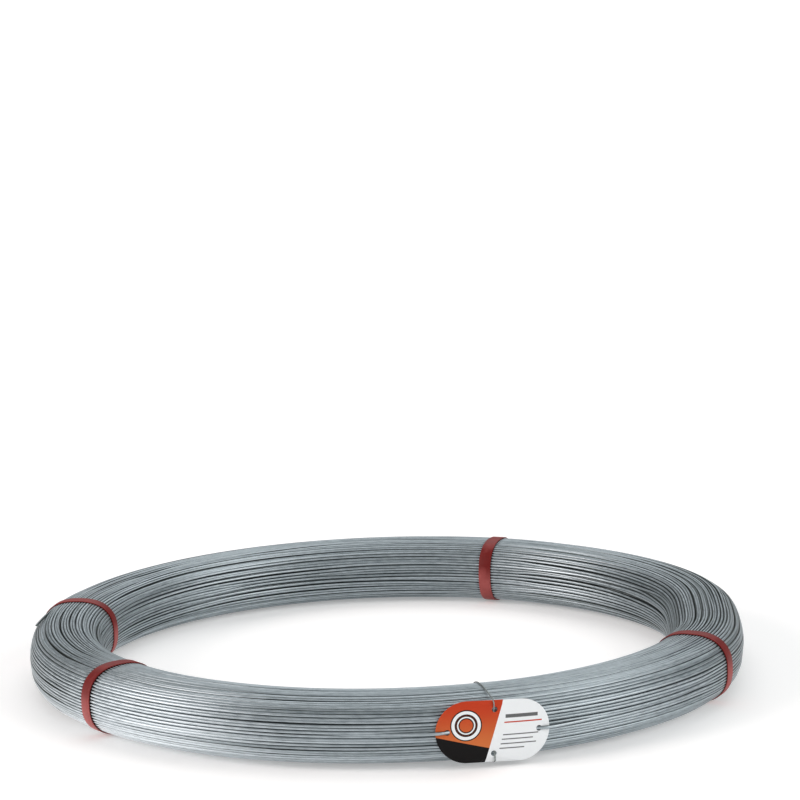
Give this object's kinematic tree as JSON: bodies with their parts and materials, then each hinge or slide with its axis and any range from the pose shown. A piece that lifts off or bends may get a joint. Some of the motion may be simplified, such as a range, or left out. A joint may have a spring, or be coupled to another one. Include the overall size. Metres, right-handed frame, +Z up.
{
  "type": "coil of galvanised wire",
  "caption": "Ring-shaped coil of galvanised oval fencing wire lying flat, its wound bundle held by flat straps, with a bowed tag on a tie wire.",
  "frame": {"origin": "on the coil's axis, on the floor that the coil lies on", "axes": "+Z up along the coil's axis; -Y faces the camera of the picture, with +X to its right"},
  "size_m": [0.7, 0.7, 0.0656],
  "materials": {
    "galvanised_wire": "dull galvanised",
    "strap": "matte, faintly ribbed",
    "tag": "printed plastic card",
    "tie_wire": "dull galvanised"
  },
  "bodies": {
    "root": {"wire_coil": "galvanised_wire", "strap_front_left": "strap", "strap_front_right": "strap", "strap_back_left": "strap", "strap_back_right": "strap", "label": "tag", "label_tie": "tie_wire"}
  },
  "joints": []
}
